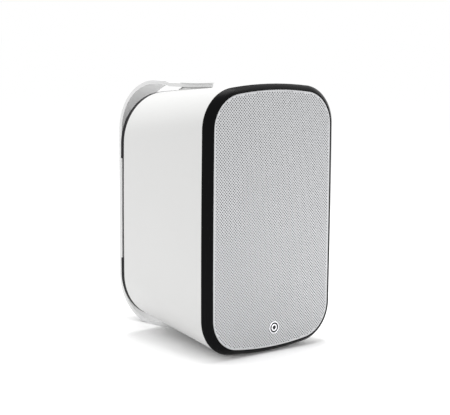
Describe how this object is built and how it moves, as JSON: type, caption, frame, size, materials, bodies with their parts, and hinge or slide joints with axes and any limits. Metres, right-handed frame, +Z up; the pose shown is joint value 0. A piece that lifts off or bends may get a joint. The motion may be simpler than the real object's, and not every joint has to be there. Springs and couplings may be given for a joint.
{
  "type": "bookshelf speaker",
  "caption": "Weatherproof bookshelf speaker: tapering white cabinet, black bevelled bezel, pull-off perforated grille, screw terminals and a C-shaped bracket it swivels in.",
  "frame": {"origin": "on the floor under the middle of the whole object's box, with the bracket's lower arm and the bezel's lowest point on the floor", "axes": "+Z up, -Y the way the grille faces, +X to the right as seen by someone facing the grille"},
  "size_m": [0.2, 0.2692, 0.3162],
  "materials": {
    "shell_white": "fine satin texture, moulded, UV-stable",
    "bezel_black": "smooth, polished bevel",
    "grille_white": "powder coat on perforated steel",
    "grille_cloth": "open acoustic weave",
    "badge_silver": "brushed, plain",
    "foam_dark": "closed-cell sealing foam",
    "baffle_light": "moulded",
    "screw_black": "blackened",
    "screw_steel": "stainless",
    "frame_black": "black coated pressing",
    "cone_grey": "moulded polypropylene",
    "roll_rubber": "soft roll",
    "dome_silk": "coated silk",
    "spider_cloth": "resin-stiffened weave",
    "coil_copper": "enamelled copper winding",
    "plate_steel": "zinc plated",
    "magnet_ferrite": "sintered ferrite",
    "cover_black": "fine texture",
    "cup_black": "satin",
    "contact_brass": "plated",
    "cap_red": "ribbed",
    "cap_black": "ribbed",
    "board_green": "laminate",
    "capacitor_body": "wrapped film",
    "resistor_white": "ceramic",
    "tab_board": "laminate strip with tinned blades",
    "lead_jacket": "insulated wire",
    "wadding_white": "loose polyester fibre",
    "bracket_white": "powder coat",
    "knob_white": "satin",
    "washer_grey": "nylon",
    "insert_brass": "plain"
  },
  "bodies": {
    "cabinet": {"cabinet_shell": "shell_white", "front_bezel": "bezel_black", "front_baffle": "baffle_light", "baffle_gasket": "foam_dark", "baffle_screws": "screw_black", "grille_seal": "foam_dark", "woofer_frame": "frame_black", "woofer_gasket": "foam_dark", "woofer_screws": "screw_black", "woofer_surround": "roll_rubber", "woofer_spider": "spider_cloth", "woofer_top_plate": "plate_steel", "woofer_magnet": "magnet_ferrite", "woofer_back_plate": "plate_steel", "woofer_terminals": "tab_board", "tweeter_faceplate": "frame_black", "tweeter_screws": "screw_black", "tweeter_surround": "dome_silk", "tweeter_top_plate": "plate_steel", "tweeter_magnet": "magnet_ferrite", "tweeter_back_plate": "plate_steel", "tweeter_terminals": "tab_board", "rear_gasket": "foam_dark", "rear_cover": "cover_black", "rear_cover_screws": "screw_steel", "terminal_gasket": "foam_dark", "terminal_cup": "cup_black", "terminal_screws": "screw_black", "terminal_post_positive": "contact_brass", "terminal_post_negative": "contact_brass", "board_standoffs": "cup_black", "crossover_board": "board_green", "board_screws": "screw_steel", "post_nuts": "contact_brass", "crossover_coils": "coil_copper", "crossover_capacitors": "capacitor_body", "crossover_resistor": "resistor_white", "woofer_leads": "lead_jacket", "tweeter_leads": "lead_jacket", "damping_wadding": "wadding_white", "upper_pivot_boss": "shell_white", "lower_pivot_boss": "shell_white", "upper_pivot_washer": "washer_grey", "lower_pivot_washer": "washer_grey", "pivot_inserts": "insert_brass"},
    "bracket": {"bracket": "bracket_white"},
    "upper_knob": {"upper_knob": "knob_white", "upper_bolt": "screw_steel"},
    "lower_bolt": {"lower_bolt": "screw_steel"},
    "positive_cap": {"terminal_cap_positive": "cap_red"},
    "negative_cap": {"terminal_cap_negative": "cap_black"},
    "woofer_cone": {"woofer_cone": "cone_grey", "woofer_dust_cap": "cone_grey", "woofer_voice_coil": "coil_copper"},
    "tweeter_dome": {"tweeter_dome": "dome_silk", "tweeter_voice_coil": "coil_copper"},
    "grille": {"grille": "grille_white", "grille_cloth": "grille_cloth", "grille_badge": "badge_silver"}
  },
  "joints": [
    {"name": "bracket_swivel", "type": "hinge", "parent": "cabinet", "child": "bracket", "pos_m": [0, 0.01249, 0.1581], "axis": [0, 0, 1], "range_deg": [-98, 82]},
    {"name": "upper_knob_turn", "type": "hinge", "parent": "cabinet", "child": "upper_knob", "pos_m": [0, 0.01249, 0.3162], "axis": [0, 0, 1], "continuous": true},
    {"name": "lower_bolt_turn", "type": "hinge", "parent": "cabinet", "child": "lower_bolt", "pos_m": [0, 0.01249, 0], "axis": [0, 0, 1], "continuous": true},
    {"name": "positive_cap_turn", "type": "hinge", "parent": "cabinet", "child": "positive_cap", "pos_m": [0.014, 0.0383, 0.16762], "axis": [0, 1, 0], "continuous": true},
    {"name": "negative_cap_turn", "type": "hinge", "parent": "cabinet", "child": "negative_cap", "pos_m": [0.014, 0.0383, 0.14858], "axis": [0, 1, 0], "continuous": true},
    {"name": "woofer_stroke", "type": "slide", "parent": "cabinet", "child": "woofer_cone", "axis": [0, -1, 0], "range_m": [-0.004, 0.004], "stiffness_N_per_m": 1500, "deforming": ["woofer_surround", "woofer_spider"]},
    {"name": "tweeter_stroke", "type": "slide", "parent": "cabinet", "child": "tweeter_dome", "axis": [0, -1, 0], "range_m": [-0.0003, 0.0003], "stiffness_N_per_m": 1200, "deforming": ["tweeter_surround"]},
    {"name": "grille_pull", "type": "slide", "parent": "cabinet", "child": "grille", "axis": [0, -1, 0], "range_m": [0, 0.04]}
  ]
}
